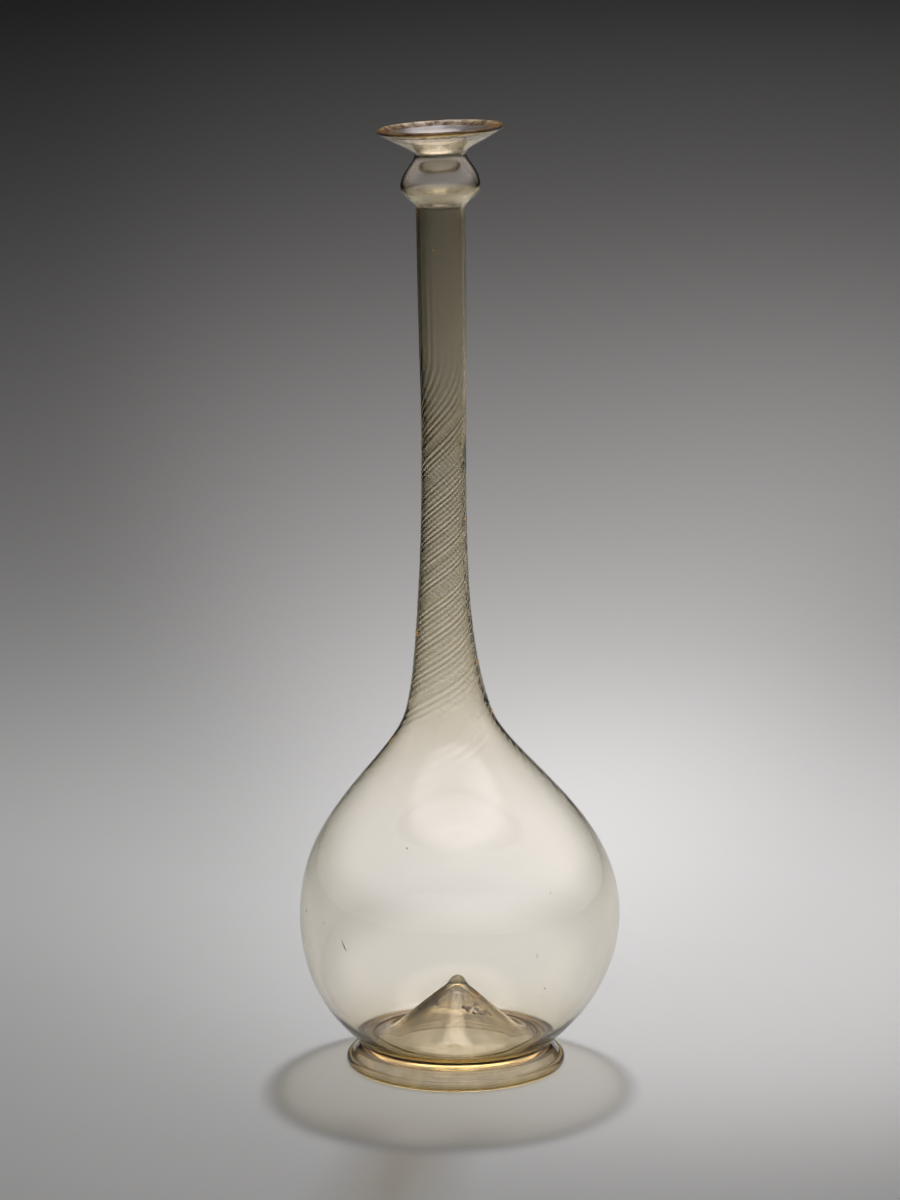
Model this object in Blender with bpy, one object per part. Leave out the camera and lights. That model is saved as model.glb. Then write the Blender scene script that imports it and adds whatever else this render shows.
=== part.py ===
"""Free-blown glass bottle: round bulb, long neck, bulge under a funnel mouth, folded foot.

The glass is one piece. Its outline is worked out as one closed loop, from the hollow
under the foot, up the outside, over the rim and down the inside to the tip of the kick.
The loop is turned about the upright axis, and then the neck is set over and the mouth
tilted, as the hand-made bottle is.

Metres, +Z up. The origin is on the ground under the middle of the bulb.
"""

import math

import bmesh
import bpy
import numpy as np

# Foot, a ring of glass folded out below the bulb
FOOT_DIAMETER = 0.0792
FOOT_BEAD_HEIGHT = 0.0035
FOOT_BEAD_WIDTH = 0.0028
FOOT_REST_WIDTH = 0.0015
FOOT_WALL = 0.0013
CREASE_DIAMETER = 0.0682
CREASE_HEIGHT = 0.0089

# Kick, the tall cone pushed up into the bottom: a round knob at its tip, and under the tip the
# thick scar of the rod with a small hollow in it
KICK_HEIGHT = 0.0320
KICK_KNOB_RADIUS = 0.0032
KICK_SHOULDER_DIAMETER = 0.0080
KICK_SHOULDER_DROP = 0.0036
KICK_SLOPE = math.radians(41)
KICK_WALL = 0.0022
KICK_BASE_DIAMETER = 0.0430
SCAR_DEPTH = 0.0095
SCAR_HOLLOW = 0.0062

# Bulb
BULB_DIAMETER = 0.1156
BULB_WALL = 0.00036
BULB_BOTTOM_WALL = 0.0010
THICK_BOTTOM_RISE = 0.012
VALLEY_RISE = 0.0030

# Shoulder, from the bulb up to the root of the neck
SHOULDER_START = math.radians(27)
SHOULDER_RISE_OVER_BULB = 0.0170
SHOULDER_WALL = 0.0004
NECK_ROOT_DIAMETER = 0.0315
NECK_ROOT_FLARE = math.radians(18.7)
NECK_ROOT_WALL = 0.00085

# Neck
NECK_WAIST_DIAMETER = 0.0159
NECK_LOWER_LENGTH = 0.0917
NECK_WALL = 0.0010
NECK_TOP_DIAMETER = 0.0174
NECK_UPPER_LENGTH = 0.0904
NECK_TOP_WALL = 0.00125

# Bulge under the mouth
BULGE_DIAMETER = 0.0282
BULGE_LOWER_HEIGHT = 0.0073
BULGE_UPPER_HEIGHT = 0.0113
BULGE_WALL = 0.0011
THROAT_DIAMETER = 0.0182
THROAT_WALL = 0.00125

# Funnel mouth with a rounded rim
MOUTH_DIAMETER = 0.0444
MOUTH_HEIGHT = 0.0092
MOUTH_SLOPE = math.radians(33)
RIM_THICKNESS = 0.0019

# How far the hand-made bottle is off true
FOOT_SHIFT = -0.0014
NECK_SHIFT = -0.0057
MOUTH_SHIFT = -0.0013
MOUTH_SIDE_TILT = math.radians(3.0)
MOUTH_BACK_TILT = math.radians(1.7)

# Fineness of the faceted glass
SEGMENTS = 44

# Levels and radii that follow from the sizes above
BULB_RADIUS = BULB_DIAMETER / 2
CREASE_RADIUS = CREASE_DIAMETER / 2
BULB_CENTRE = CREASE_HEIGHT + math.sqrt(BULB_RADIUS**2 - CREASE_RADIUS**2)
NECK_ROOT = BULB_CENTRE + BULB_RADIUS + SHOULDER_RISE_OVER_BULB
NECK_WAIST = NECK_ROOT + NECK_LOWER_LENGTH
NECK_TOP = NECK_WAIST + NECK_UPPER_LENGTH
BULGE_MIDDLE = NECK_TOP + BULGE_LOWER_HEIGHT
THROAT = BULGE_MIDDLE + BULGE_UPPER_HEIGHT
RIM = THROAT + MOUTH_HEIGHT
KICK_BASE_RADIUS = KICK_BASE_DIAMETER / 2
KICK_SHOULDER = np.array([KICK_SHOULDER_DIAMETER / 2, KICK_HEIGHT - KICK_SHOULDER_DROP])

ALONG_KICK = np.array([math.cos(KICK_SLOPE), -math.sin(KICK_SLOPE)])


def clear_scene():
    """Remove every object that the scene starts with."""
    for item in list(bpy.data.objects):
        bpy.data.objects.remove(item, do_unlink=True)


def bezier(start, start_handle, end_handle, end, steps):
    """Points on the cubic curve from start to end, with the start left out."""
    t = np.linspace(0, 1, steps + 1)[1:, None]
    start, start_handle, end_handle, end = map(np.array, (start, start_handle, end_handle, end))
    return ((1 - t)**3 * start + 3 * t * (1 - t)**2 * start_handle
            + 3 * t**2 * (1 - t) * end_handle + t**3 * end)


def arc(centre, radii, first, last, steps):
    """Points on an ellipse arc about centre, from the first angle to the last, in radians."""
    angle = np.linspace(first, last, steps + 1)
    return np.column_stack([centre[0] + radii[0] * np.cos(angle),
                            centre[1] + radii[1] * np.sin(angle)])


def kick_underside():
    """Under the kick: the scar's hollow, the cone, and the flare to the foot's flat rest."""
    point_height = (KICK_SHOULDER[1] + KICK_SHOULDER[0] * math.tan(KICK_SLOPE)
                    - KICK_WALL / math.cos(KICK_SLOPE))
    scar_height = KICK_HEIGHT - SCAR_DEPTH
    scar_radius = (point_height - scar_height) / math.tan(KICK_SLOPE)
    scar_edge = np.array([scar_radius, scar_height]) + 0.25 * scar_radius * ALONG_KICK
    hollow_top = scar_height + SCAR_HOLLOW
    hollow = bezier((0, hollow_top), (0.4 * scar_radius, hollow_top),
                    (0.75 * scar_radius, scar_height - 0.05 * SCAR_HOLLOW), scar_edge, 3)
    lower_radius = KICK_BASE_RADIUS - KICK_WALL * math.sin(KICK_SLOPE)
    cone_end = np.array([lower_radius, point_height - lower_radius * math.tan(KICK_SLOPE)])
    rest_inner = FOOT_DIAMETER / 2 - FOOT_BEAD_WIDTH / 2 - FOOT_REST_WIDTH
    flare_end = np.array([rest_inner - 0.25 * FOOT_WALL, 0.35 * FOOT_WALL])
    reach = flare_end[0] - cone_end[0]
    inside_crease = np.array([CREASE_RADIUS + 0.4 * FOOT_WALL, CREASE_HEIGHT - 0.85 * FOOT_WALL])
    flare = bezier(cone_end, cone_end + 0.38 * reach * ALONG_KICK, inside_crease, flare_end, 6)
    return np.vstack([(0, hollow_top), hollow, cone_end, flare, (rest_inner, 0)])


def foot_outside():
    """The foot's flat rest, its rounded bead, and the slope up to the crease under the bulb."""
    bead_radii = (FOOT_BEAD_WIDTH / 2, FOOT_BEAD_HEIGHT / 2)
    bead_centre = (FOOT_DIAMETER / 2 - bead_radii[0], bead_radii[1])
    bead = arc(bead_centre, bead_radii, -math.pi / 2, math.radians(105), 5)
    crease = np.array([CREASE_RADIUS, CREASE_HEIGHT])
    slope = bezier(bead[-1], 0.7 * bead[-1] + 0.3 * crease, 0.3 * bead[-1] + 0.7 * crease
                   - (0.1 * FOOT_WALL, 0), crease, 2)
    return np.vstack([bead, slope])


def bulb_to_mouth(lowest):
    """The outside from a low level on the bulb to the rim's bead, always rising."""
    low_angle = math.asin((lowest - BULB_CENTRE) / BULB_RADIUS)
    bulb = arc((0, BULB_CENTRE), (BULB_RADIUS, BULB_RADIUS), low_angle, SHOULDER_START, 9)

    neck_root = np.array([NECK_ROOT_DIAMETER / 2, NECK_ROOT])
    rise = NECK_ROOT - bulb[-1][1]
    off_bulb = np.array([-math.sin(SHOULDER_START), math.cos(SHOULDER_START)])
    up_root = np.array([-math.sin(NECK_ROOT_FLARE), math.cos(NECK_ROOT_FLARE)])
    shoulder = bezier(bulb[-1], bulb[-1] + 0.455 * rise * off_bulb,
                      neck_root - 0.28 * rise * up_root, neck_root, 7)

    waist_radius = NECK_WAIST_DIAMETER / 2
    neck_lower = bezier(neck_root, neck_root + 0.256 * NECK_LOWER_LENGTH * up_root,
                        (waist_radius, NECK_WAIST - 0.218 * NECK_LOWER_LENGTH),
                        (waist_radius, NECK_WAIST), 6)

    top_radius = NECK_TOP_DIAMETER / 2
    neck_upper = bezier((waist_radius, NECK_WAIST),
                        (waist_radius, NECK_WAIST + 0.3 * NECK_UPPER_LENGTH),
                        (top_radius, NECK_TOP - 0.5 * NECK_UPPER_LENGTH), (top_radius, NECK_TOP), 3)

    bulge_radius = BULGE_DIAMETER / 2
    bulge_lower = bezier((top_radius, NECK_TOP),
                         (top_radius, NECK_TOP + 0.34 * BULGE_LOWER_HEIGHT),
                         (bulge_radius, BULGE_MIDDLE - 0.52 * BULGE_LOWER_HEIGHT),
                         (bulge_radius, BULGE_MIDDLE), 5)
    throat_radius = THROAT_DIAMETER / 2
    bulge_upper = bezier((bulge_radius, BULGE_MIDDLE),
                         (bulge_radius, BULGE_MIDDLE + 0.5 * BULGE_UPPER_HEIGHT),
                         (throat_radius, THROAT - 0.21 * BULGE_UPPER_HEIGHT),
                         (throat_radius, THROAT), 5)

    bead_radius = RIM_THICKNESS / 2
    outward = np.array([math.sin(MOUTH_SLOPE), -math.cos(MOUTH_SLOPE)])
    up_funnel = np.array([math.cos(MOUTH_SLOPE), math.sin(MOUTH_SLOPE)])
    funnel_end = np.array([MOUTH_DIAMETER / 2 - bead_radius, RIM]) + bead_radius * outward
    funnel = bezier((throat_radius, THROAT), (throat_radius, THROAT + 0.27 * MOUTH_HEIGHT),
                    funnel_end - 0.8 * (funnel_end[0] - throat_radius) * up_funnel, funnel_end, 5)
    return np.vstack([bulb, shoulder, neck_lower, neck_upper, bulge_lower, bulge_upper, funnel])


def wall_at(height):
    """Wall thickness at each height: thick at the bottom, thin round the bulb."""
    levels = [CREASE_HEIGHT, CREASE_HEIGHT + THICK_BOTTOM_RISE, BULB_CENTRE,
              BULB_CENTRE + 0.8 * BULB_RADIUS, NECK_ROOT, NECK_WAIST, NECK_TOP, BULGE_MIDDLE,
              THROAT, THROAT + 0.6 * MOUTH_HEIGHT, RIM]
    walls = [BULB_BOTTOM_WALL, BULB_WALL, BULB_WALL, SHOULDER_WALL, NECK_ROOT_WALL, NECK_WALL,
             NECK_TOP_WALL, BULGE_WALL, THROAT_WALL, THROAT_WALL, RIM_THICKNESS]
    return np.interp(height, levels, walls)


def inside_of(outline):
    """The inside wall: each point of the outline moved in, square to it, by the wall."""
    along = np.gradient(outline, axis=0)
    along /= np.linalg.norm(along, axis=1)[:, None]
    inward = np.column_stack([-along[:, 1], along[:, 0]])
    return outline + inward * wall_at(outline[:, 1])[:, None]


def rim_bead(outer_end, inner_end):
    """Half round over the rim, from the end of the outside to the end of the inside."""
    middle = (outer_end + inner_end) / 2
    half = (outer_end - inner_end) / 2
    ahead = np.array([-half[1], half[0]])
    turn = np.linspace(0, math.pi, 6)[1:-1, None]
    return middle + half * np.cos(turn) + ahead * np.sin(turn)


def kick_topside(wall_end, along_bulb):
    """Inside the bottom: the rounded valley below the bulb's wall, the cone and its knob."""
    knob_centre = KICK_HEIGHT - KICK_KNOB_RADIUS
    knob = arc((0, knob_centre), (KICK_KNOB_RADIUS, KICK_KNOB_RADIUS), math.radians(20),
               math.pi / 2, 3)
    knob[-1][0] = 0
    run = (KICK_BASE_RADIUS - KICK_SHOULDER[0]) / ALONG_KICK[0]
    cone_end = KICK_SHOULDER + run * ALONG_KICK
    reach = wall_end[0] - cone_end[0]
    valley = bezier(wall_end, wall_end - 0.25 * reach * along_bulb,
                    cone_end + 0.55 * reach * ALONG_KICK, cone_end, 5)
    return np.vstack([valley, KICK_SHOULDER, knob])


def outline_loop():
    """The whole section of the glass, from the axis under the kick to the axis over it."""
    outside = bulb_to_mouth(CREASE_HEIGHT)
    inside = inside_of(bulb_to_mouth(CREASE_HEIGHT + VALLEY_RISE))[::-1]
    along_bulb = inside[-2] - inside[-1]
    along_bulb /= np.linalg.norm(along_bulb)
    return np.vstack([kick_underside(), foot_outside()[:-1], outside,
                      rim_bead(outside[-1], inside[0]), inside,
                      kick_topside(inside[-1], along_bulb)])


def ease(value, low, high):
    """A smooth step from 0 at low to 1 at high."""
    t = min(max((value - low) / (high - low), 0), 1)
    return t * t * (3 - 2 * t)


def set_off_true(point):
    """Move a point of the true bottle sideways with its height, and tilt it near the mouth."""
    foot_part = 1 - ease(point.z, CREASE_HEIGHT, BULB_CENTRE)
    neck_part = ease(point.z, BULB_CENTRE, NECK_ROOT + 0.5 * NECK_LOWER_LENGTH)
    mouth_part = ease(point.z, NECK_WAIST, RIM)
    tilt_part = ease(point.z, NECK_TOP - BULGE_LOWER_HEIGHT, THROAT)
    x, y = point.x, point.y
    point.x += FOOT_SHIFT * foot_part + NECK_SHIFT * neck_part + MOUTH_SHIFT * mouth_part
    point.z += tilt_part * (x * math.tan(MOUTH_SIDE_TILT) - y * math.tan(MOUTH_BACK_TILT))


def glass_material():
    """Clear glass with a pale amber cast."""
    material = bpy.data.materials.new("glass")
    material.use_nodes = True
    shader = material.node_tree.nodes["Principled BSDF"]
    shader.inputs["Base Color"].default_value = (0.90, 0.86, 0.74, 1)
    shader.inputs["Metallic"].default_value = 0
    shader.inputs["Roughness"].default_value = 0.03
    shader.inputs["IOR"].default_value = 1.5
    shader.inputs["Transmission Weight"].default_value = 1
    return material


def turned_mesh(name, loop):
    """Spin the loop once round Z and weld the seam and both ends on the axis."""
    shape = bmesh.new()
    points = [shape.verts.new((radius, 0, height)) for radius, height in loop]
    edges = [shape.edges.new(pair) for pair in zip(points, points[1:])]
    bmesh.ops.spin(shape, geom=points + edges, axis=(0, 0, 1), cent=(0, 0, 0),
                   angle=2 * math.pi, steps=SEGMENTS)
    bmesh.ops.remove_doubles(shape, verts=shape.verts, dist=1e-6)
    bmesh.ops.recalc_face_normals(shape, faces=shape.faces)
    for vert in shape.verts:
        set_off_true(vert.co)
    mesh = bpy.data.meshes.new(name)
    shape.to_mesh(mesh)
    shape.free()
    mesh.shade_smooth()
    mesh.set_sharp_from_angle(angle=math.radians(40))
    return mesh


def glass_bottle():
    """The bottle as one hollow solid, open at the mouth."""
    mesh = turned_mesh("glass_bottle", outline_loop())
    mesh.materials.append(glass_material())
    bottle = bpy.data.objects.new("glass_bottle", mesh)
    bpy.context.scene.collection.objects.link(bottle)
    return bottle


clear_scene()
glass_bottle()
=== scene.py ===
import math

import bpy
import numpy as np
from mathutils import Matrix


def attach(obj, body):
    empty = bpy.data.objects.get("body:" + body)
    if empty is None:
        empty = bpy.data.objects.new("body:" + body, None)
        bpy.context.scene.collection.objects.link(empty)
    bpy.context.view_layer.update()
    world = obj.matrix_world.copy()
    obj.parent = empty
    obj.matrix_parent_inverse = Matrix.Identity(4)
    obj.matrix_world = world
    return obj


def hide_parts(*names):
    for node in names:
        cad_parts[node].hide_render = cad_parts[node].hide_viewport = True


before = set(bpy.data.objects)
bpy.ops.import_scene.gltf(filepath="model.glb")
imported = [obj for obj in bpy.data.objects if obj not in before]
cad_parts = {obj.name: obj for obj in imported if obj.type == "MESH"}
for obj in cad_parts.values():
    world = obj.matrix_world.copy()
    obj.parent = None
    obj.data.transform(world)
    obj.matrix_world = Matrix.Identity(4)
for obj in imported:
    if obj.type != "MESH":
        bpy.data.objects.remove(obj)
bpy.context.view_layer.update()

# The blown glass body.
# One gather of clear glass, blown into a ribbed mould and twisted, with the bottom pushed up
# on a rod, the foot folded out and the mouth opened while hot. Nothing on it comes off.

CREASE_RADIUS = 0.0341
CREASE_HEIGHT = 0.0089
BULB_RADIUS = 0.0578
BULB_CENTRE = CREASE_HEIGHT + math.sqrt(BULB_RADIUS**2 - CREASE_RADIUS**2)
SHOULDER_START = math.radians(27)
NECK_ROOT = BULB_CENTRE + BULB_RADIUS + 0.0170
NECK_ROOT_RADIUS = 0.01575
NECK_ROOT_FLARE = math.radians(18.7)
LOWER_NECK_LENGTH = 0.0917
NECK_WAIST = NECK_ROOT + LOWER_NECK_LENGTH
NECK_WAIST_RADIUS = 0.00795
UPPER_NECK_LENGTH = 0.0904
NECK_TOP = NECK_WAIST + UPPER_NECK_LENGTH
NECK_TOP_RADIUS = 0.0087
BELLY_HEIGHT = 0.0073
BULGE_MIDDLE = NECK_TOP + BELLY_HEIGHT
BULGE_RADIUS = 0.0141
BROW_HEIGHT = 0.0113
THROAT = BULGE_MIDDLE + BROW_HEIGHT
THROAT_RADIUS = 0.0091
FUNNEL_HEIGHT = 0.0092
RIM = THROAT + FUNNEL_HEIGHT
MOUTH_RADIUS = 0.0222
MOUTH_SLOPE = math.radians(33)
RIM_THICKNESS = 0.0019
COLUMNS = 189


def cubic(start, start_handle, end_handle, end, steps):
    """Bezier curve: the four points weighted by (1-t)^3, 3t(1-t)^2, 3t^2(1-t) and t^3."""
    t = np.linspace(0, 1, steps + 1)[1:, None]
    weights = np.hstack([(1 - t)**3, 3 * t * (1 - t)**2, 3 * t**2 * (1 - t), t**3])
    return weights @ np.array([start, start_handle, end_handle, end], dtype=float)


def ellipse_arc(centre, radii, first, last, steps):
    """Ellipse arc: centre plus radii times the cosine and sine of an even run of angles."""
    angle = np.linspace(first, last, steps + 1)
    return np.column_stack([centre[0] + radii[0] * np.cos(angle),
                            centre[1] + radii[1] * np.sin(angle)])


def outline_from(lowest):
    """Radius and height up the outside, from the lowest level on the bulb to the funnel's end."""
    low = math.asin((lowest - BULB_CENTRE) / BULB_RADIUS)
    bulb = ellipse_arc((0, BULB_CENTRE), (BULB_RADIUS, BULB_RADIUS), low, SHOULDER_START, 34)
    rise = NECK_ROOT - bulb[-1, 1]
    off_bulb = np.array([-math.sin(SHOULDER_START), math.cos(SHOULDER_START)])
    up_root = np.array([-math.sin(NECK_ROOT_FLARE), math.cos(NECK_ROOT_FLARE)])
    root = np.array([NECK_ROOT_RADIUS, NECK_ROOT])
    shoulder = cubic(bulb[-1], bulb[-1] + 0.455 * rise * off_bulb,
                     root - 0.28 * rise * up_root, root, 36)
    lower = cubic(root, root + 0.256 * LOWER_NECK_LENGTH * up_root,
                  (NECK_WAIST_RADIUS, NECK_WAIST - 0.218 * LOWER_NECK_LENGTH),
                  (NECK_WAIST_RADIUS, NECK_WAIST), 78)
    upper = cubic((NECK_WAIST_RADIUS, NECK_WAIST),
                  (NECK_WAIST_RADIUS, NECK_WAIST + 0.3 * UPPER_NECK_LENGTH),
                  (NECK_TOP_RADIUS, NECK_TOP - 0.5 * UPPER_NECK_LENGTH),
                  (NECK_TOP_RADIUS, NECK_TOP), 36)
    belly = cubic((NECK_TOP_RADIUS, NECK_TOP), (NECK_TOP_RADIUS, NECK_TOP + 0.34 * BELLY_HEIGHT),
                  (BULGE_RADIUS, BULGE_MIDDLE - 0.52 * BELLY_HEIGHT),
                  (BULGE_RADIUS, BULGE_MIDDLE), 22)
    brow = cubic((BULGE_RADIUS, BULGE_MIDDLE), (BULGE_RADIUS, BULGE_MIDDLE + 0.5 * BROW_HEIGHT),
                 (THROAT_RADIUS, THROAT - 0.21 * BROW_HEIGHT), (THROAT_RADIUS, THROAT), 24)
    bead = RIM_THICKNESS / 2
    out = np.array([math.sin(MOUTH_SLOPE), -math.cos(MOUTH_SLOPE)])
    up_funnel = np.array([math.cos(MOUTH_SLOPE), math.sin(MOUTH_SLOPE)])
    end = np.array([MOUTH_RADIUS - bead, RIM]) + bead * out
    funnel = cubic((THROAT_RADIUS, THROAT), (THROAT_RADIUS, THROAT + 0.27 * FUNNEL_HEIGHT),
                   end - 0.8 * (end[0] - THROAT_RADIUS) * up_funnel, end, 22)
    return np.vstack([bulb, shoulder, lower, upper, belly, brow, funnel])


def glass_wall(height):
    """Wall thickness: straight runs between the levels where the wall changes."""
    levels = [CREASE_HEIGHT, CREASE_HEIGHT + 0.012, BULB_CENTRE,
              BULB_CENTRE + 0.8 * BULB_RADIUS, NECK_ROOT, NECK_WAIST, NECK_TOP, BULGE_MIDDLE,
              THROAT, THROAT + 0.0055, RIM]
    walls = [0.0010, 0.00036, 0.00036, 0.0004, 0.00085, 0.0010, 0.00125, 0.0011,
             0.00125, 0.00125, RIM_THICKNESS]
    return np.interp(height, levels, walls)


def inside_outline(outside):
    """The outside moved in by the wall, square to its own direction."""
    along = np.gradient(outside, axis=0)
    along /= np.linalg.norm(along, axis=1, keepdims=True)
    inward = np.column_stack([-along[:, 1], along[:, 0]])
    return outside + inward * glass_wall(outside[:, 1])[:, None]


def rim_round(outer, inner):
    """Half circle over the rim: middle plus half the wall turned from outer to inner."""
    middle, half = (outer + inner) / 2, (outer - inner) / 2
    turn = np.linspace(0, math.pi, 10)[1:-1, None]
    return middle + half * np.cos(turn) + np.array([-half[1], half[0]]) * np.sin(turn)


KICK_HEIGHT = 0.0320
KICK_TIP_RADIUS = 0.0032
KICK_SHOULDER_RADIUS = 0.0040
KICK_SHOULDER_DROP = 0.0036
KICK_SLOPE = math.radians(41)
KICK_WALL = 0.0022
SCAR_DEPTH = 0.0095
SCAR_HOLLOW = 0.0062
KICK_BASE_RADIUS = 0.0215
FOOT_WALL = 0.0013
FOOT_RADIUS = 0.0396
REST_RADIUS = 0.0367
BEAD_HALF_WIDTH = 0.0014
BEAD_HALF_HEIGHT = 0.00175
VALLEY_RISE = 0.0030
SCAR_STEPS = 12
CONE_STEPS = 6
FLARE_STEPS = 18
VALLEY_STEPS = 20
KICK_STEPS = 12
TIP_STEPS = 8
CONE_BOW = 0.00035
DOWN_KICK = np.array([math.cos(KICK_SLOPE), -math.sin(KICK_SLOPE)])


def kick_outline():
    """Under the bottle from the axis out: the rod's scar, the cone, the flare and the foot."""
    point = (KICK_HEIGHT - KICK_SHOULDER_DROP + KICK_SHOULDER_RADIUS * math.tan(KICK_SLOPE)
             - KICK_WALL / math.cos(KICK_SLOPE))
    scar_height = KICK_HEIGHT - SCAR_DEPTH
    scar_radius = (point - scar_height) / math.tan(KICK_SLOPE)
    scar_edge = np.array([scar_radius, scar_height]) + 0.25 * scar_radius * DOWN_KICK
    scar_top = scar_height + SCAR_HOLLOW
    scar = cubic((0, scar_top), (0.4 * scar_radius, scar_top),
                 (0.75 * scar_radius, scar_height - 0.05 * SCAR_HOLLOW), scar_edge, SCAR_STEPS)
    low = KICK_BASE_RADIUS - KICK_WALL * math.sin(KICK_SLOPE)
    cone_end = np.array([low, point - low * math.tan(KICK_SLOPE)])
    cone = cubic(scar_edge, (2 * scar_edge + cone_end) / 3, (scar_edge + 2 * cone_end) / 3,
                 cone_end, CONE_STEPS)
    flare_end = np.array([REST_RADIUS - 0.25 * FOOT_WALL, 0.35 * FOOT_WALL])
    reach = flare_end[0] - cone_end[0]
    flare = cubic(cone_end, cone_end + 0.38 * reach * DOWN_KICK,
                  (CREASE_RADIUS + 0.4 * FOOT_WALL, CREASE_HEIGHT - 0.85 * FOOT_WALL), flare_end,
                  FLARE_STEPS)
    bead = ellipse_arc((FOOT_RADIUS - BEAD_HALF_WIDTH, BEAD_HALF_HEIGHT),
                       (BEAD_HALF_WIDTH, BEAD_HALF_HEIGHT), -math.pi / 2, math.radians(105), 12)
    crease = np.array([CREASE_RADIUS, CREASE_HEIGHT])
    slope = cubic(bead[-1], 0.7 * bead[-1] + 0.3 * crease,
                  0.3 * bead[-1] + 0.7 * crease - (0.00022, 0), crease, 7)
    return np.vstack([(0, scar_top), scar, cone, flare, (REST_RADIUS, 0), bead, slope[:-1]])


def kick_top(inner_crease, along_bulb):
    """Inside the bottle from the wall to the axis: the valley, the cone and its round tip."""
    tip = ellipse_arc((0, KICK_HEIGHT - KICK_TIP_RADIUS), (KICK_TIP_RADIUS, KICK_TIP_RADIUS),
                      math.radians(20), math.pi / 2, TIP_STEPS)
    tip[-1, 0] = 0
    shoulder = np.array([KICK_SHOULDER_RADIUS, KICK_HEIGHT - KICK_SHOULDER_DROP])
    cone_end = shoulder + (KICK_BASE_RADIUS - shoulder[0]) / DOWN_KICK[0] * DOWN_KICK
    reach = inner_crease[0] - cone_end[0]
    valley = cubic(inner_crease, inner_crease - 0.25 * reach * along_bulb,
                   cone_end + 0.55 * reach * DOWN_KICK, cone_end, VALLEY_STEPS)
    bow = CONE_BOW * np.array([math.sin(KICK_SLOPE), math.cos(KICK_SLOPE)])
    cone = cubic(cone_end, (2 * cone_end + shoulder) / 3 - 0.5 * bow,
                 (cone_end + 2 * shoulder) / 3 + bow, shoulder, KICK_STEPS)
    return np.vstack([valley, cone, tip])


MOUTH_ROWS = 72
BULB_ROWS = 74


def glass_section():
    """The closed section as rows of radius and height, and each row's share of the ribs.

    The plain inside keeps all its rows at the mouth, a third up the neck and half in the bulb.
    """
    outside = outline_from(CREASE_HEIGHT)
    inside = inside_outline(outline_from(CREASE_HEIGHT + VALLEY_RISE))[::-1]
    neck_end = len(inside) - BULB_ROWS
    keep = np.r_[0:MOUTH_ROWS, MOUTH_ROWS:neck_end:3, neck_end:len(inside):2]
    inside = inside[np.union1d(keep, [len(inside) - 1])]
    along = inside[-2] - inside[-1]
    under = kick_outline()
    rows = [under, outside, rim_round(outside[-1], inside[0]), inside,
            kick_top(inside[-1], along / np.linalg.norm(along))]
    ribbed = np.zeros(sum(len(part) for part in rows))
    ribbed[len(under):len(under) + len(outside)] = 1
    return np.vstack(rows), ribbed


def ease(value, low, high):
    """Smooth step 3t^2 - 2t^3 between low and high."""
    t = np.clip((value - low) / (high - low), 0, 1)
    return t * t * (3 - 2 * t)


RIBS = 21
RIB_DEPTH = 0.000095
BAND_AT = 2.05
BAND_HALF_WIDTH = 0.33
BAND_EDGE = 0.08
RIDGE_AT = 0.45
RIDGE_WIDTH = 0.16
FOOT_OFFSET = -0.0014
NECK_OFFSET = -0.0057
MOUTH_OFFSET = -0.0013
MOUTH_TILT_LEFT = math.radians(3.0)
MOUTH_TILT_BACK = math.radians(1.7)


def twist_to(height):
    """Turn of the ribs at each height: the sum of height steps over the pitch at each step."""
    level = np.linspace(0.085, 0.300, 431)
    turns_per_metre = np.interp(level, [0.090, 0.110, 0.125, 0.145, 0.165, 0.190, 0.205, 0.220,
                                        0.240, 0.262],
                                [0, 11, 17, 21, 22, 24, 24, 22, 17.5, 0])
    turn = np.cumsum(turns_per_metre) * (level[1] - level[0]) * 2 * math.pi
    return np.interp(height, level, turn)


def rib_height(around, twist, height):
    """Height of the ribs: a cosine wave round the neck, times its strength at each height.

    Sines make it wander and swell, and it gives way to a plain band and to one stout ridge.
    """
    fresh = 0.72 - 0.28 * np.sin(around + twist)
    strength = np.interp(height, [0.085, 0.100, 0.118, 0.135, 0.150, 0.165, 0.210, 0.230, 0.250,
                                  0.300, NECK_TOP],
                         [0, 0.25, 0.4, 0.5, 0.65, 0.85, 1, 1, 0.6, 0.25, 0.1])
    wander = (0.35 * np.sin(3 * around + 90 * height)
              + 0.22 * np.sin(7 * around + 1.3 - 160 * height))
    wave = 0.5 + 0.5 * np.cos(RIBS * around + wander)
    off_band = np.angle(np.exp(1j * (around - BAND_AT)))
    band = (np.tanh((off_band + BAND_HALF_WIDTH) / BAND_EDGE)
            - np.tanh((off_band - BAND_HALF_WIDTH) / BAND_EDGE)) / 2
    ridge = np.exp(-((np.angle(np.exp(1j * (around - RIDGE_AT)))) / RIDGE_WIDTH)**2)
    uneven = 1 + 0.35 * np.sin(5 * around + 2.1 + 60 * height)
    plain = (1 - 0.9 * band) * (1 - 0.8 * ridge)
    return RIB_DEPTH * fresh * strength * (wave * uneven * plain + 1.1 * ridge + 0.5 * band)


def hand_blown(x, y, z):
    """The neck set over to the left, and the mouth tilted, as eased shares of each shift."""
    foot = 1 - ease(z, CREASE_HEIGHT, BULB_CENTRE)
    neck = ease(z, BULB_CENTRE, NECK_ROOT + 0.5 * LOWER_NECK_LENGTH)
    mouth = ease(z, NECK_WAIST, RIM)
    tilt = ease(z, NECK_TOP - BELLY_HEIGHT, THROAT)
    off = FOOT_OFFSET * foot + NECK_OFFSET * neck + MOUTH_OFFSET * mouth
    rise = tilt * (x * math.tan(MOUTH_TILT_LEFT) - y * math.tan(MOUTH_TILT_BACK))
    return x + off, y, z + rise


def mesh_piece(name, points, faces):
    """Smooth mesh object from its points, one row each, and its faces, at the origin."""
    mesh = bpy.data.meshes.new(name)
    mesh.from_pydata(points.tolist(), [], faces)
    mesh.shade_smooth()
    piece = bpy.data.objects.new(name, mesh)
    bpy.context.scene.collection.objects.link(piece)
    return piece


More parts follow.
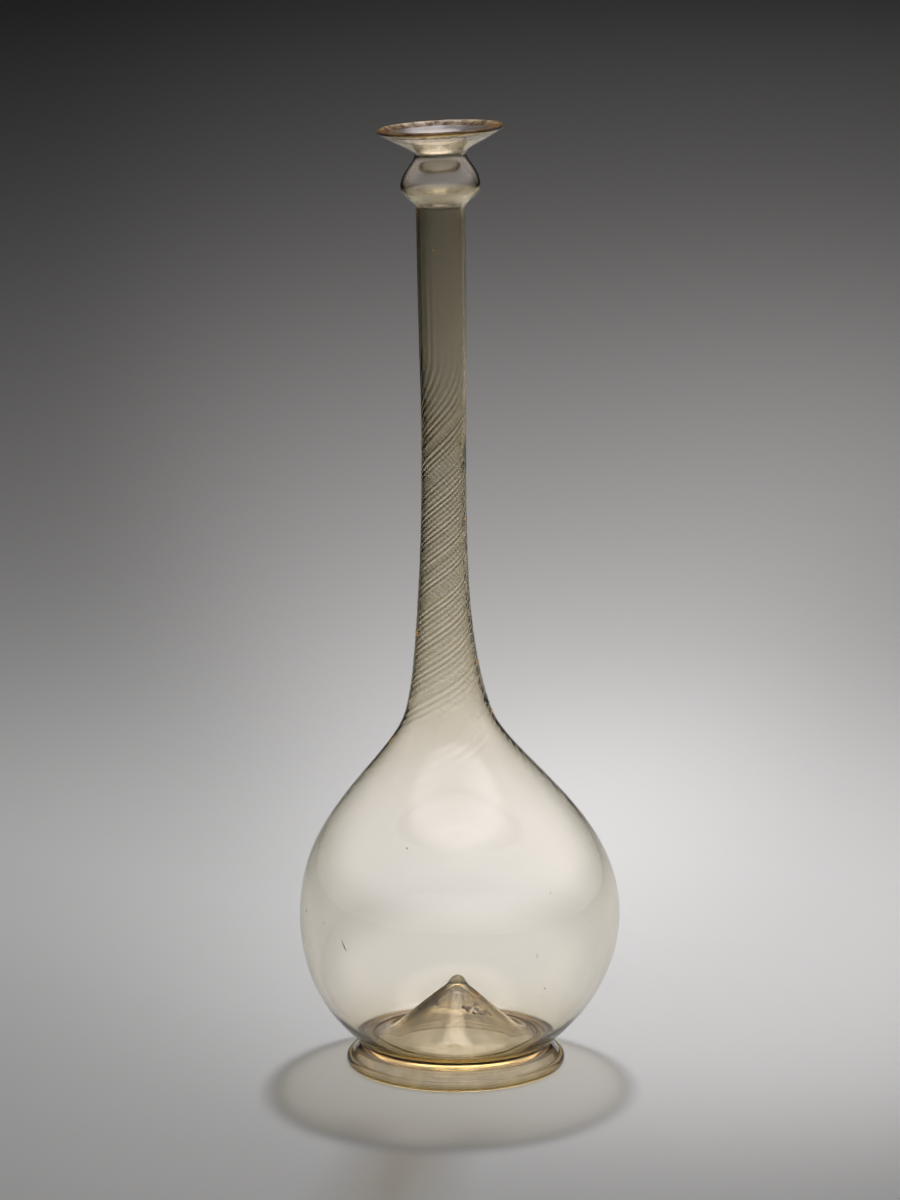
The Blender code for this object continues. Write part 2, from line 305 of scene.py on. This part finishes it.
def turned_surface(name, points, rows):
    """Mesh of a turned grid: quads between rows, and a fan to the one point at each end."""
    bottom, top = points[0, 0], points[-1, 0]
    grid = points[1:-1].reshape(-1, 3)
    corner = np.arange((rows - 2) * COLUMNS).reshape(rows - 2, COLUMNS)
    after = np.roll(corner, -1, axis=1)
    quads = np.stack([corner[:-1], after[:-1], after[1:], corner[1:]], axis=-1).reshape(-1, 4)
    count = len(grid)
    low_fan = np.column_stack([np.full(COLUMNS, count), after[0], corner[0]])
    high_fan = np.column_stack([np.full(COLUMNS, count + 1), corner[-1], after[-1]])
    return mesh_piece(name, np.vstack([grid, bottom, top]),
                      quads.tolist() + low_fan.tolist() + high_fan.tolist())


def blown_glass():
    """Clear glass by plain transmission and absorption, with striae of stretched noise.

    A shadow ray passes straight through, and less of it where the glass is seen edge on.
    """
    material = bpy.data.materials.new("blown_glass")
    material.use_nodes = True
    nodes, links = material.node_tree.nodes, material.node_tree.links
    shader = nodes["Principled BSDF"]
    shader.inputs["Base Color"].default_value = (1, 1, 1, 1)
    shader.inputs["Transmission Weight"].default_value = 1
    shader.inputs["IOR"].default_value = 1.5
    where = nodes.new("ShaderNodeTexCoord")
    stretch = nodes.new("ShaderNodeMapping")
    stretch.inputs["Scale"].default_value = (60, 60, 22)
    links.new(where.outputs["Object"], stretch.inputs["Vector"])
    striae = nodes.new("ShaderNodeTexNoise")
    striae.inputs["Scale"].default_value = 1
    striae.inputs["Detail"].default_value = 3
    links.new(stretch.outputs["Vector"], striae.inputs["Vector"])
    gloss = nodes.new("ShaderNodeMapRange")
    gloss.inputs["To Max"].default_value = 0.03
    links.new(striae.outputs["Fac"], gloss.inputs["Value"])
    links.new(gloss.outputs["Result"], shader.inputs["Roughness"])
    ripple = nodes.new("ShaderNodeBump")
    ripple.inputs["Strength"].default_value = 0.05
    ripple.inputs["Distance"].default_value = 0.0004
    links.new(striae.outputs["Fac"], ripple.inputs["Height"])
    links.new(ripple.outputs["Normal"], shader.inputs["Normal"])
    facing = nodes.new("ShaderNodeLayerWeight")
    facing.inputs["Blend"].default_value = 0.5
    grazing = nodes.new("ShaderNodeMath")
    grazing.operation = "POWER"
    grazing.inputs[1].default_value = 5
    links.new(facing.outputs["Facing"], grazing.inputs[0])
    let_by = nodes.new("ShaderNodeMapRange")
    let_by.inputs["To Min"].default_value = 0.96
    let_by.inputs["To Max"].default_value = 0.0
    links.new(grazing.outputs["Value"], let_by.inputs["Value"])
    lamp_light = nodes.new("ShaderNodeBsdfTransparent")
    links.new(let_by.outputs["Result"], lamp_light.inputs["Color"])
    ray = nodes.new("ShaderNodeLightPath")
    both = nodes.new("ShaderNodeMixShader")
    links.new(ray.outputs["Is Shadow Ray"], both.inputs["Fac"])
    links.new(shader.outputs["BSDF"], both.inputs[1])
    links.new(lamp_light.outputs["BSDF"], both.inputs[2])
    links.new(both.outputs["Shader"], nodes["Material Output"].inputs["Surface"])
    tint = nodes.new("ShaderNodeVolumeAbsorption")
    tint.inputs["Color"].default_value = (0.752, 0.57, 0.0, 1)
    tint.inputs["Density"].default_value = 240
    links.new(tint.outputs["Volume"], nodes["Material Output"].inputs["Volume"])
    return material


section, ribbed = glass_section()
across = np.linspace(0, 2 * math.pi, COLUMNS, endpoint=False)[None, :]
section_radius, section_height = section[:, :1], section[:, 1:]
turn = twist_to(section_height)
relief = rib_height(across, turn, section_height) * ribbed[:, None]
bottle_radius = section_radius + relief
bottle_x, bottle_y, bottle_z = hand_blown(bottle_radius * np.cos(across + turn),
                                          bottle_radius * np.sin(across + turn),
                                          section_height + 0 * across)
bottle_glass = turned_surface("bottle_glass", np.stack([bottle_x, bottle_y, bottle_z], axis=-1),
                              len(section))
bottle_glass.data.materials.append(blown_glass())
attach(bottle_glass, "root")
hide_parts("glass_bottle")

# The films. Amber-brown weathering crust on the rim, the rod's scar and under the foot. A pale
# film on the knob over the scar is painted light, a dark film on the kick's left flank is painted
# shade, and a thin dark brown line lies in the groove round the kick. Each film lies a hair off
# the glass under it.


def film(name, first, last, lift, sector=None):
    """Strip of the rows moved along their outward normal, and a fade of sines to its edges."""
    row = section[first:last]
    along = np.gradient(section, axis=0)[first:last]
    along = along / np.linalg.norm(along, axis=1, keepdims=True)
    off = row + lift * np.column_stack([along[:, 1], -along[:, 0]])
    level, height = off[:, :1], off[:, 1:]
    degrees = np.degrees(across[0])
    columns = np.arange(COLUMNS)
    if sector:
        columns = np.flatnonzero((degrees > sector[0]) & (degrees < sector[1]))
    around = across[:, columns] + twist_to(height)
    x, y, z = hand_blown(level * np.cos(around), level * np.sin(around), height + 0 * around)
    points = np.stack([x, y, z], axis=-1).reshape(-1, 3)
    corner = np.arange(len(row) * len(columns)).reshape(len(row), len(columns))
    after = np.roll(corner, -1, axis=1)
    if sector:
        corner, after = corner[:, :-1], after[:, :-1]
    quads = np.stack([corner[:-1], after[:-1], after[1:], corner[1:]], axis=-1).reshape(-1, 4)
    piece = mesh_piece(name, points, quads.tolist())
    fade = np.outer(np.sin(np.linspace(0, math.pi, len(row))),
                    np.sin(np.linspace(0, math.pi, len(columns))))
    piece.data.attributes.new("fade", "FLOAT", "POINT").data.foreach_set("value", fade.ravel())
    return piece


def stain_and_painted_light(name, dark, pale, scale, thin, thick, faded=False):
    """Mottled film that lets some light by, for crusts, painted shade and painted light: noise on
    object coordinates sets its colour and its cover.

    A faded one also thins out to the edges of its film.
    """
    material = bpy.data.materials.new(name)
    material.use_nodes = True
    nodes, links = material.node_tree.nodes, material.node_tree.links
    shader = nodes["Principled BSDF"]
    where = nodes.new("ShaderNodeTexCoord")
    blotch = nodes.new("ShaderNodeTexNoise")
    blotch.inputs["Scale"].default_value = scale
    blotch.inputs["Detail"].default_value = 4
    blotch.inputs["Roughness"].default_value = 0.65
    links.new(where.outputs["Object"], blotch.inputs["Vector"])
    colour = nodes.new("ShaderNodeValToRGB")
    colour.color_ramp.elements[0].position = 0.38
    colour.color_ramp.elements[0].color = (*dark, 1)
    colour.color_ramp.elements[1].position = 0.62
    colour.color_ramp.elements[1].color = (*pale, 1)
    links.new(blotch.outputs["Fac"], colour.inputs["Fac"])
    links.new(colour.outputs["Color"], shader.inputs["Base Color"])
    cover = nodes.new("ShaderNodeMapRange")
    cover.inputs["From Min"].default_value = 0.36
    cover.inputs["From Max"].default_value = 0.64
    cover.inputs["To Min"].default_value = thick
    cover.inputs["To Max"].default_value = thin
    links.new(blotch.outputs["Fac"], cover.inputs["Value"])
    opacity = cover.outputs["Result"]
    if faded:
        edge = nodes.new("ShaderNodeAttribute")
        edge.attribute_name = "fade"
        faint = nodes.new("ShaderNodeMath")
        faint.operation = "MULTIPLY"
        links.new(opacity, faint.inputs[0])
        links.new(edge.outputs["Fac"], faint.inputs[1])
        opacity = faint.outputs["Value"]
    links.new(opacity, shader.inputs["Alpha"])
    shader.inputs["Roughness"].default_value = 0.6
    shader.inputs["Specular IOR Level"].default_value = 0.12
    rough = nodes.new("ShaderNodeBump")
    rough.inputs["Strength"].default_value = 0.3
    rough.inputs["Distance"].default_value = 0.00008
    links.new(blotch.outputs["Fac"], rough.inputs["Height"])
    links.new(rough.outputs["Normal"], shader.inputs["Normal"])
    return material


RIM_OUTSIDE = np.flatnonzero(section_height[:, 0] > RIM - 0.0002)[0]
RIM_INSIDE = np.flatnonzero(section_height[:, 0] > RIM - 0.0017)[-1]
rim_stain = film("rim_stain", RIM_OUTSIDE, RIM_INSIDE, 0.00001)
rim_stain.data.materials.append(stain_and_painted_light("amber_crust", (0.045, 0.014, 0.002), (0.46, 0.25, 0.05),
                                      330, 0.25, 0.85))
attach(rim_stain, "root")

scar_stain = film("scar_stain", 1, 1 + SCAR_STEPS, 0.00004)
scar_stain.data.materials.append(stain_and_painted_light("scar_crust", (0.035, 0.02, 0.004), (0.34, 0.25, 0.08),
                                       330, 0.35, 0.95))
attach(scar_stain, "root")

foot_film = film("foot_film", 1 + SCAR_STEPS, 1 + SCAR_STEPS + CONE_STEPS + FLARE_STEPS, 0.00004)
foot_film.data.materials.append(stain_and_painted_light("foot_crust", (0.24, 0.19, 0.06), (0.52, 0.44, 0.19),
                                      130, 0.24, 0.50))
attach(foot_film, "root")

TIP_ROW = len(section) - TIP_STEPS - 1
# Painted shade: a dark, nearly whole film on the left of the kick's flank, fading to its edges.
flank_painted_shade = film("flank_painted_shade", TIP_ROW - KICK_STEPS, TIP_ROW + 1, 0.00003, (150, 226))
flank_painted_shade.data.materials.append(stain_and_painted_light("flank_shade_paint", (0.02, 0.013, 0.004), (0.10, 0.07, 0.02),
                                        260, 0.80, 1.0, True))
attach(flank_painted_shade, "root")

# Painted light: a pale mottled film that makes the knob look lit through.
knob_film = film("knob_film", TIP_ROW, len(section) - 1, 0.00003)
knob_film.data.materials.append(stain_and_painted_light("knob_painted_light", (0.30, 0.22, 0.08), (0.95, 0.84, 0.56),
                                      700, 0.55, 0.80))
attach(knob_film, "root")


RING_ROWS = 240
RING_SIDES = 8


def groove_line(name, radius, height, thick, seed):
    """Closed ring tube: its half width swells at the sides and wavers with sines round the ring."""
    rng = np.random.default_rng(seed)
    turn = np.linspace(0, 2 * math.pi, RING_ROWS, endpoint=False)[:, None]
    phase = rng.uniform(0, 2 * math.pi, 3)
    side = 0.38 + 0.62 * np.cos(turn)**2
    waver = 0.22 * np.sin(5 * turn + phase[0]) + 0.15 * np.sin(11 * turn + phase[1])
    swell = thick * side * (1 + waver)
    roll = np.linspace(0, 2 * math.pi, RING_SIDES, endpoint=False)[None, :]
    level = radius + swell * np.cos(roll) + 0.00015 * np.sin(3 * turn + phase[2])
    x = level * np.cos(turn) + FOOT_OFFSET
    y = level * np.sin(turn)
    z = height + 0.9 * swell * np.sin(roll)
    points = np.stack([x, y, z], axis=-1).reshape(-1, 3)
    corner = np.arange(RING_ROWS * RING_SIDES).reshape(RING_ROWS, RING_SIDES)
    after, above = np.roll(corner, -1, axis=0), np.roll(corner, -1, axis=1)
    both = np.roll(after, -1, axis=1)
    quads = np.stack([corner, after, both, above], axis=-1).reshape(-1, 4)
    return mesh_piece(name, points, quads.tolist())


GROOVE_RADIUS = 0.0302
VALLEY_ROW = TIP_ROW - KICK_STEPS - VALLEY_STEPS
groove_row = VALLEY_ROW + np.argmin(np.abs(section_radius[VALLEY_ROW:, 0] - GROOVE_RADIUS))
# A thin dark brown tube in the groove round the kick, thickest at its left and right sides.
groove_dark_line = groove_line("groove_dark_line", section_radius[groove_row, 0],
                          section_height[groove_row, 0] + 0.00015, 0.00030, 3)
groove_dark_line.data.materials.append(stain_and_painted_light("groove_dark_brown", (0.03, 0.015, 0.004), (0.12, 0.07, 0.02),
                                        500, 0.8, 1.0))
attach(groove_dark_line, "root")

# The dried dirt.
# Brown specks of earth on the bulb, crumbs of it on the kick's right flank, amber grit along the
# neck and tan flakes low inside the bulb. Each is a small uneven lump bedded in the glass.


LUMP_RINGS = 5
LUMP_SIDES = 8


def lumps(name, places, normals, along, sizes, seed):
    """Many uneven lumps: a unit ball grid, roughened, scaled and set in each place's own axes."""
    rng = np.random.default_rng(seed)
    lat = np.linspace(-math.pi / 2, math.pi / 2, LUMP_RINGS + 2)[1:-1, None]
    lon = np.linspace(0, 2 * math.pi, LUMP_SIDES, endpoint=False)[None, :]
    ball = np.stack([np.cos(lat) * np.cos(lon), np.cos(lat) * np.sin(lon),
                     np.sin(lat) + 0 * lon], axis=-1).reshape(-1, 3)
    ball = np.vstack([ball, (0, 0, -1), (0, 0, 1)])
    normals = normals / np.linalg.norm(normals, axis=1, keepdims=True)
    along = along - np.sum(along * normals, axis=1, keepdims=True) * normals
    along = along / np.linalg.norm(along, axis=1, keepdims=True)
    axes = np.stack([along, np.cross(normals, along), normals], axis=1)
    rough = 1 + 0.28 * rng.uniform(-1, 1, (len(places), len(ball), 1))
    shape = ball[None] * rough * sizes[:, None, :]
    points = places[:, None, :] + np.einsum("nvi,nij->nvj", shape, axes)
    poles = LUMP_RINGS * LUMP_SIDES
    corner = np.arange(poles).reshape(LUMP_RINGS, LUMP_SIDES)
    after = np.roll(corner, -1, axis=1)
    sides = np.stack([corner[:-1], after[:-1], after[1:], corner[1:]], axis=-1).reshape(-1, 4)
    low = np.column_stack([np.full(LUMP_SIDES, poles), after[0], corner[0]])
    high = np.column_stack([np.full(LUMP_SIDES, poles + 1), corner[-1], after[-1]])
    step = len(ball) * np.arange(len(places))[:, None, None]
    return mesh_piece(name, points.reshape(-1, 3),
                      (step + sides[None]).reshape(-1, 4).tolist()
                      + (step + low[None]).reshape(-1, 3).tolist()
                      + (step + high[None]).reshape(-1, 3).tolist())


def dry_dirt(name, dark, pale, scale):
    """Matt earth whose colour runs from dark to pale with a noise on object coordinates."""
    material = bpy.data.materials.new(name)
    material.use_nodes = True
    nodes, links = material.node_tree.nodes, material.node_tree.links
    where = nodes.new("ShaderNodeTexCoord")
    grain = nodes.new("ShaderNodeTexNoise")
    grain.inputs["Scale"].default_value = scale
    grain.inputs["Detail"].default_value = 3
    links.new(where.outputs["Object"], grain.inputs["Vector"])
    colour = nodes.new("ShaderNodeValToRGB")
    colour.color_ramp.elements[0].position = 0.35
    colour.color_ramp.elements[0].color = (*dark, 1)
    colour.color_ramp.elements[1].position = 0.65
    colour.color_ramp.elements[1].color = (*pale, 1)
    links.new(grain.outputs["Fac"], colour.inputs["Fac"])
    links.new(colour.outputs["Color"], nodes["Principled BSDF"].inputs["Base Color"])
    nodes["Principled BSDF"].inputs["Roughness"].default_value = 0.85
    rough = nodes.new("ShaderNodeBump")
    rough.inputs["Strength"].default_value = 0.4
    rough.inputs["Distance"].default_value = 0.0001
    links.new(grain.outputs["Fac"], rough.inputs["Height"])
    links.new(rough.outputs["Normal"], nodes["Principled BSDF"].inputs["Normal"])
    return material


def on_bulb(from_front, height):
    """Points on the bulb's outside: the ball's radius at each height, turned from the front."""
    angle = np.radians(from_front)
    level = np.sqrt(BULB_RADIUS**2 - (height - BULB_CENTRE)**2)
    return np.column_stack([level * np.sin(angle), -level * np.cos(angle), height])


rng = np.random.default_rng(11)
SPECK_TURN = np.array([-72.3, -73.0, -74.6, -46.3, -46.0, -45.6, -45.1, -44.7, -44.3, -43.0, 28.0,
                       28.1, 32.4, 144.0, -160.0, 100.0, -118.0])
SPECK_HEIGHT = np.array([0.0611, 0.0617, 0.0757, 0.0566, 0.0560, 0.0553, 0.0545, 0.0539, 0.0534,
                         0.0541, 0.0545, 0.0537, 0.0412, 0.0500, 0.0650, 0.0380, 0.0440])
SPECK_SIZE = np.array([0.34, 0.18, 0.20, 0.16, 0.24, 0.30, 0.32, 0.28, 0.20, 0.14, 0.20, 0.18,
                       0.24, 0.25, 0.30, 0.22, 0.26]) * 0.001
specks = on_bulb(SPECK_TURN, SPECK_HEIGHT)
speck_normal = specks - (0, 0, BULB_CENTRE)
speck_along = np.tile((0.35, 0.0, -1.0), (len(specks), 1))
CRUMBS = 26
crumb_turn = np.radians(rng.uniform(14, 62, CRUMBS))
crumb_share = 0.36 + 0.26 * (crumb_turn - 0.25) + rng.normal(0, 0.04, CRUMBS)
crumb_radius = KICK_SHOULDER_RADIUS + crumb_share * (KICK_BASE_RADIUS - KICK_SHOULDER_RADIUS)
crumb_height = (KICK_HEIGHT - KICK_SHOULDER_DROP
                - (crumb_radius - KICK_SHOULDER_RADIUS) * math.tan(KICK_SLOPE))
crumbs = np.column_stack([crumb_radius * np.sin(crumb_turn) + FOOT_OFFSET,
                          -crumb_radius * np.cos(crumb_turn), crumb_height])
crumb_normal = np.column_stack([math.sin(KICK_SLOPE) * np.sin(crumb_turn),
                                -math.sin(KICK_SLOPE) * np.cos(crumb_turn),
                                np.full(CRUMBS, math.cos(KICK_SLOPE))])
crumb_along = np.column_stack([np.ones(CRUMBS), rng.uniform(-0.5, 0.5, CRUMBS),
                               np.full(CRUMBS, -0.6)])
crumb_size = rng.uniform(0.26, 0.70, CRUMBS) * 0.001
places = np.vstack([specks, crumbs])
sizes = np.concatenate([SPECK_SIZE, crumb_size])
bottle_dirt = lumps("bottle_dirt", places, np.vstack([speck_normal, crumb_normal]),
                    np.vstack([speck_along, crumb_along]),
                    np.column_stack([1.5 * sizes, 0.8 * sizes, 0.35 * sizes]), 5)
bottle_dirt.data.materials.append(dry_dirt("dried_dirt", (0.03, 0.02, 0.01), (0.16, 0.11, 0.06),
                                           900))
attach(bottle_dirt, "root")


def on_section(first, last, from_right, height):
    """Points on the rows: radius at each height, turned and leant, with normals from its slope."""
    row = section[first:last]
    row = row[np.argsort(row[:, 1])]
    level = np.interp(height, row[:, 1], row[:, 0])
    slope = np.interp(height, row[:, 1], np.gradient(row[:, 0]) / np.gradient(row[:, 1]))
    angle = np.radians(from_right)
    x, y, z = hand_blown(level * np.cos(angle), level * np.sin(angle), height)
    return np.column_stack([x, y, z]), np.column_stack([np.cos(angle), np.sin(angle), -slope])


BIT_SINK = 0.0003
BIT_TURN = np.array([188, 352, 355, 186, 4, 184, 357, 250])
BIT_HEIGHT = np.array([0.1596, 0.1493, 0.1309, 0.1205, 0.0915, 0.3104, 0.2010, 0.2985])
BIT_SIZE = np.array([[1.3, 0.6, 0.4], [0.9, 0.5, 0.4], [1.4, 0.6, 0.4], [2.4, 0.6, 0.4],
                     [2.6, 0.6, 0.35], [0.9, 0.7, 0.4], [0.6, 0.4, 0.3],
                     [0.5, 0.4, 0.3]]) * 0.001
outside_start = len(kick_outline())
outside_end = outside_start + len(outline_from(CREASE_HEIGHT))
bit_places, bit_normals = on_section(outside_start, outside_end, BIT_TURN, BIT_HEIGHT)
amber_bits = lumps("amber_bits", bit_places - BIT_SINK * bit_normals, bit_normals,
                   np.tile((0.0, 0.0, 1.0), (len(BIT_TURN), 1)), BIT_SIZE, 8)
amber_bits.data.materials.append(dry_dirt("amber_grit", (0.06, 0.032, 0.008), (0.34, 0.20, 0.05),
                                          600))
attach(amber_bits, "root")

FLAKES = 300
FLAKE_FLOOR = 0.0135
INSIDE_ROWS = 60
flake_turn = np.concatenate([rng.normal(196, 15, FLAKES // 2), rng.normal(345, 15, FLAKES // 2)])
flake_height = FLAKE_FLOOR + np.abs(rng.normal(0, 0.0075, FLAKES))
flake_places, flake_normals = on_section(VALLEY_ROW + 1 - INSIDE_ROWS, VALLEY_ROW + 1, flake_turn,
                                         flake_height)
flake_size = rng.uniform(0.05, 0.20, (FLAKES, 1)) * 0.001
tan_flakes = lumps("tan_flakes", flake_places, -flake_normals, rng.normal(0, 1, (FLAKES, 3)),
                   flake_size * np.array([[1.6, 1.0, 0.3]]), 9)
tan_flakes.data.materials.append(dry_dirt("tan_earth", (0.26, 0.17, 0.07), (0.46, 0.35, 0.18), 500))
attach(tan_flakes, "root")

# The floor the bottle stands on.
# A wide, plain, pale matt sheet, not part of the bottle, with nothing fixed to it.

FLOOR_HALF = 9.0
floor_corners = FLOOR_HALF * np.array([(-1, -1, 0), (1, -1, 0), (1, 1, 0), (-1, 1, 0)])
floor = mesh_piece("floor", floor_corners, [(0, 1, 2, 3)])
floor_paint = bpy.data.materials.new("pale_floor")
floor_paint.use_nodes = True
floor_shader = floor_paint.node_tree.nodes["Principled BSDF"]
floor_shader.inputs["Base Color"].default_value = (0.80, 0.80, 0.80, 1)
floor_shader.inputs["Roughness"].default_value = 0.85
floor_shader.inputs["Specular IOR Level"].default_value = 0.0
floor.data.materials.append(floor_paint)

# The studio light. A small lamp behind and over the bottle throws its shadow forward. Two wide
# lamps at the right and three beams from the front, all without shadows, light the rest of the
# floor. A white tent, brightest overhead, lights nothing and only shows in the glass.


def hang(light, place, aim):
    """Lamp at place, turned to look at aim, which the glass neither mirrors nor lets through."""
    light.cycles.use_multiple_importance_sampling = False
    lamp = bpy.data.objects.new(light.name, light)
    lamp.location = place
    line = np.array(aim) - np.array(place)
    level = math.hypot(line[0], line[1])
    lamp.rotation_euler = (math.atan2(level, -line[2]), 0,
                           math.atan2(line[1], line[0]) - math.pi / 2)
    lamp.visible_glossy = False
    lamp.visible_transmission = False
    bpy.context.scene.collection.objects.link(lamp)
    return lamp


def soft_lamp(name, place, aim, size, power):
    """Square lamp of the size and power given."""
    light = bpy.data.lights.new(name, "AREA")
    light.size = size
    light.energy = power
    return hang(light, place, aim)


def beam(name, place, aim, half_angle, power):
    """Spot lamp whose light falls off smoothly to nothing at the half angle, in degrees."""
    light = bpy.data.lights.new(name, "SPOT")
    light.spot_size = math.radians(2 * half_angle)
    light.spot_blend = 1
    light.shadow_soft_size = 0.05
    light.energy = power
    return hang(light, place, aim)


soft_lamp("overhead", (0.024, 0.240, 0.520), (0.024, 0.24, 0.0), 0.05, 1.2)
washes = [soft_lamp("right", (0.9, 0.75, 1.3), (0.9, 0.75, 0.0), 0.6, 7.57),
          soft_lamp("far_right", (0.6, 2.8, 1.3), (0.6, 2.8, 0.0), 0.6, 0.5),
          beam("long_beam", (0.0, -0.9, 0.3), (0.06, 1.3, 0.0), 8, 136.6),
          beam("high_beam", (-0.2, -0.5, 0.8), (0.18, 0.2, 0.0), 17, 12.8),
          beam("front_beam", (-0.03, -0.9, 0.9), (-0.03, -0.24, 0.0), 14, 6.5)]
for wash in washes:
    wash.data.color = (1.0, 0.97, 0.96)
    wash.data.use_shadow = False

tent = bpy.data.worlds.new("tent")
bpy.context.scene.world = tent
tent.use_nodes = True
tent.cycles_visibility.diffuse = False
tent_nodes, tent_links = tent.node_tree.nodes, tent.node_tree.links
direction = tent_nodes.new("ShaderNodeTexCoord").outputs["Generated"]
parts = tent_nodes.new("ShaderNodeSeparateXYZ")
tent_links.new(direction, parts.inputs["Vector"])
rightward, backward, upward = parts.outputs["X"], parts.outputs["Y"], parts.outputs["Z"]
lampward = tent_nodes.new("ShaderNodeVectorMath")
lampward.operation = "DOT_PRODUCT"
lampward.inputs[1].default_value = (0.05, 0.50, 0.865)
tent_links.new(direction, lampward.inputs[0])


def ramp(shape, source, reach, glow):
    """Glow from its first value to its second, as the source runs over its reach."""
    node = tent_nodes.new("ShaderNodeMapRange")
    node.interpolation_type = shape
    node.inputs["From Min"].default_value = reach[0]
    node.inputs["From Max"].default_value = reach[1]
    node.inputs["To Min"].default_value = glow[0]
    node.inputs["To Max"].default_value = glow[1]
    tent_links.new(source, node.inputs["Value"])
    return node.outputs["Result"]


def joined(operation, first, second):
    """Sum or product of two glows."""
    node = tent_nodes.new("ShaderNodeMath")
    node.operation = operation
    tent_links.new(first, node.inputs[0])
    tent_links.new(second, node.inputs[1])
    return node.outputs["Value"]


in_front = ramp("LINEAR", backward, (1.0, 0.2), (0.0, 2.0))
off_ground = ramp("SMOOTHSTEP", upward, (0.0, 0.45), (0.14, 1.0))
over = ramp("SMOOTHSTEP", upward, (0.78, 0.86), (0.0, 1.3))
top = ramp("SMOOTHSTEP", upward, (0.89, 0.97), (0.0, -0.9))
sided = ramp("LINEAR", rightward, (-0.9, 0.9), (0.86, 1.08))
zenith = ramp("SMOOTHSTEP", upward, (0.950, 0.992), (0.0, 6.0))
behind = ramp("SMOOTHSTEP", lampward.outputs["Value"], (0.92, 0.98), (0.0, 3.5))
walls = joined("ADD", joined("MULTIPLY", in_front, off_ground), joined("ADD", over, top))
walls = joined("MULTIPLY", walls, sided)
total = joined("ADD", joined("ADD", walls, zenith), behind)
tent_nodes["Background"].inputs["Color"].default_value = (1.0, 0.94, 1.02, 1)
tent_links.new(total, tent_nodes["Background"].inputs["Strength"])
scene = bpy.context.scene
scene.view_settings.view_transform = "Standard"
scene.cycles.max_bounces = 24
scene.cycles.transmission_bounces = 24
scene.cycles.transparent_max_bounces = 24
scene.cycles.caustics_reflective = False
scene.cycles.caustics_refractive = False

# The camera. It looks down on the bottle by twelve and a half degrees, through a long lens and
# from under two metres away.

CAMERA_DISTANCE = 1.857
CAMERA_HEIGHT = 0.585
CAMERA_DOWN = math.radians(12.56)
lens = bpy.data.cameras.new("camera")
lens.sensor_width = 36
lens.lens = 160
camera = bpy.data.objects.new("camera", lens)
camera.location = (-0.0035, -CAMERA_DISTANCE, CAMERA_HEIGHT)
camera.rotation_euler = (math.pi / 2 - CAMERA_DOWN, 0, 0)
bpy.context.scene.collection.objects.link(camera)
bpy.context.scene.camera = camera
